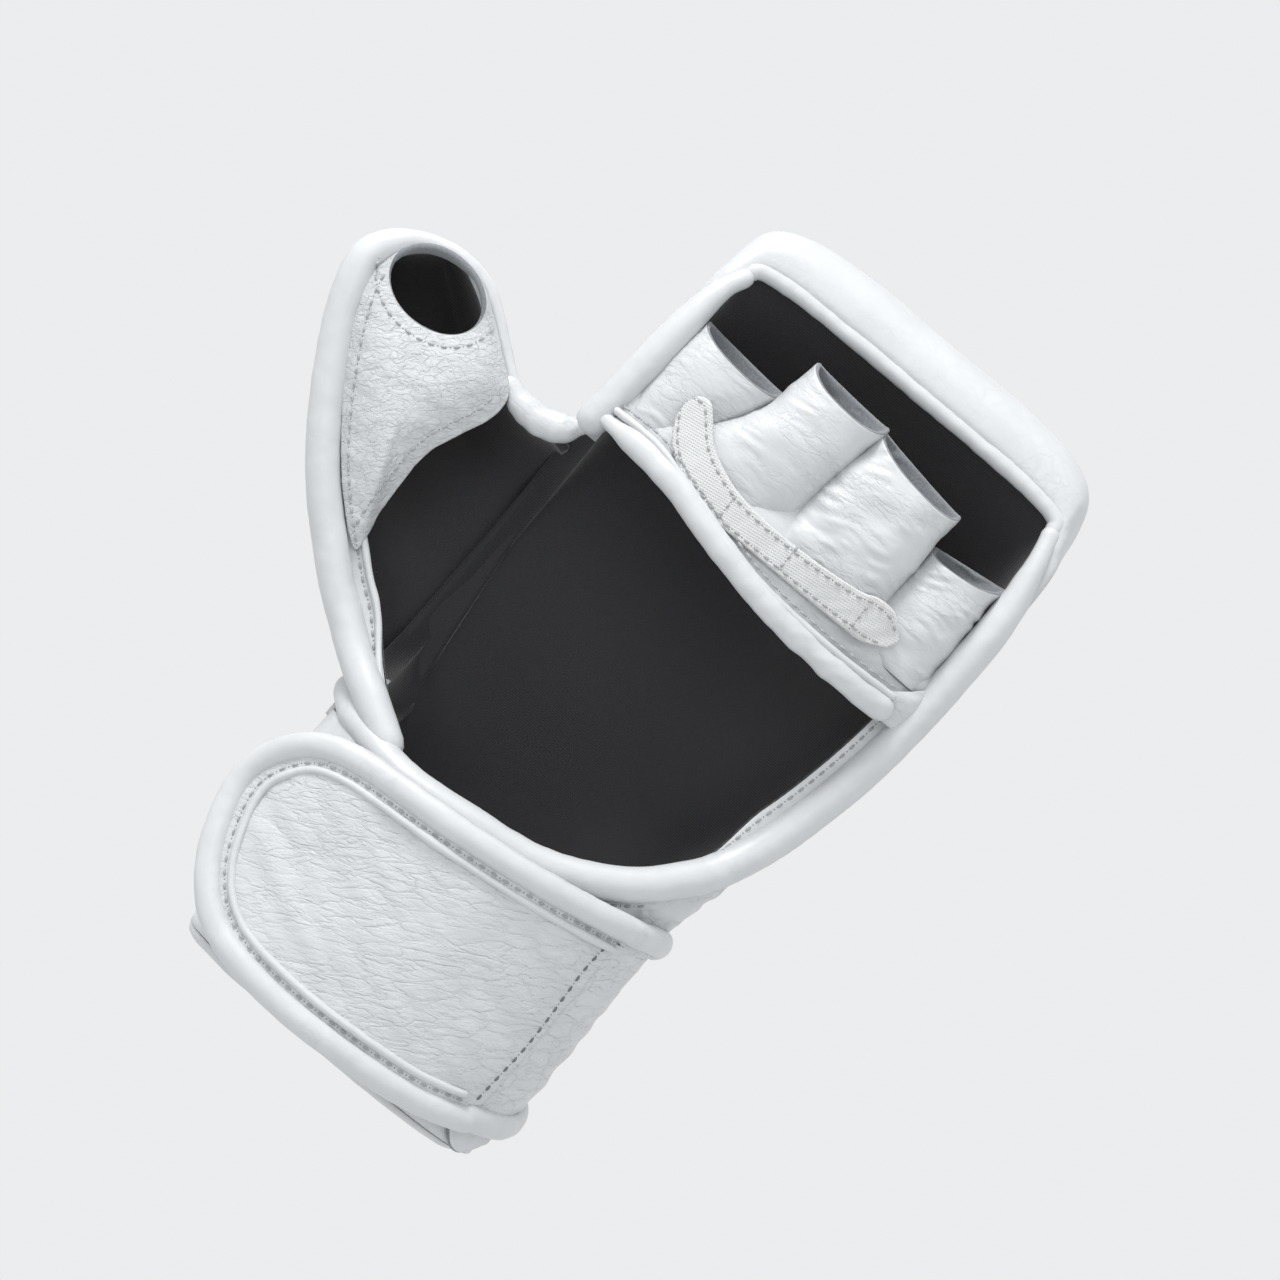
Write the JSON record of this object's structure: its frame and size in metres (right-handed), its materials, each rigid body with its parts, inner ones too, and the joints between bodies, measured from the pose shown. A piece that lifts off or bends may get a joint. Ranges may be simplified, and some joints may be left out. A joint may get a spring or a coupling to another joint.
{
  "type": "mma glove",
  "caption": "Open-palm martial arts glove for the left hand, with padded knuckles, finger sheaths, thumb guard and hook-and-loop wrist strap.",
  "frame": {"origin": "centre of the wrist opening, on the plane that the cuff hem rests on", "axes": "+Z from the wrist to the fingers, -Y is the palm side, -X is the thumb side"},
  "size_m": [0.1807, 0.0857, 0.227],
  "materials": {
    "smooth_leather": "satin, fine wrinkles",
    "grained_leather": "satin, creased grain",
    "edge_leather": "satin, rolled edge",
    "black_lining": "soft woven lining",
    "foam": "closed-cell foam",
    "grip_textile": "ribbed textile",
    "strap_webbing": "woven backing",
    "loop_tape": "loop pile",
    "hook_tape": "moulded hooks"
  },
  "bodies": {
    "hand": {"back_leather": "smooth_leather", "back_foam": "foam", "hand_lining": "black_lining", "heel_roll": "edge_leather", "cuff_leather": "smooth_leather", "cuff_foam": "foam", "cuff_lining": "black_lining", "cuff_hem": "edge_leather", "cuff_flap": "smooth_leather", "loop_patch": "loop_tape", "strap_root": "grained_leather"},
    "knuckles": {"knuckle_leather": "smooth_leather", "knuckle_lining": "black_lining", "knuckle_pad_index": "foam", "knuckle_pad_middle": "foam", "knuckle_pad_ring": "foam", "knuckle_pad_little": "foam", "index_side_roll": "edge_leather", "little_side_roll": "edge_leather", "index_sheath": "smooth_leather", "middle_sheath": "smooth_leather", "ring_sheath": "smooth_leather", "little_sheath": "smooth_leather", "finger_base_panel": "smooth_leather", "palm_bar": "smooth_leather", "palm_bar_piping": "edge_leather", "grip_patch": "grip_textile", "side_tab": "smooth_leather"},
    "thumb": {"thumb_leather": "smooth_leather", "thumb_foam": "foam", "thumb_lining": "black_lining", "thumb_sheath": "grained_leather", "thumb_edge_roll": "edge_leather", "web_roll": "edge_leather"},
    "strap": {"hook_patch": "hook_tape", "strap_backing": "strap_webbing", "strap_binding": "edge_leather", "strap_piping": "edge_leather", "strap_panel": "grained_leather"}
  },
  "joints": [
    {"name": "knuckle_flex", "type": "hinge", "parent": "hand", "child": "knuckles", "pos_m": [0.0115, 0.02, 0.163], "axis": [1, 0, 0], "range_deg": [0, 35]},
    {"name": "thumb_swing", "type": "hinge", "parent": "hand", "child": "thumb", "pos_m": [-0.0458, 0.008, 0.111], "axis": [0, 0, 1], "range_deg": [-10, 35]},
    {"name": "strap_peel", "type": "hinge", "parent": "hand", "child": "strap", "pos_m": [0.04, -0.0372, 0.035], "axis": [0, 0, 1], "range_deg": [0, 110]}
  ]
}
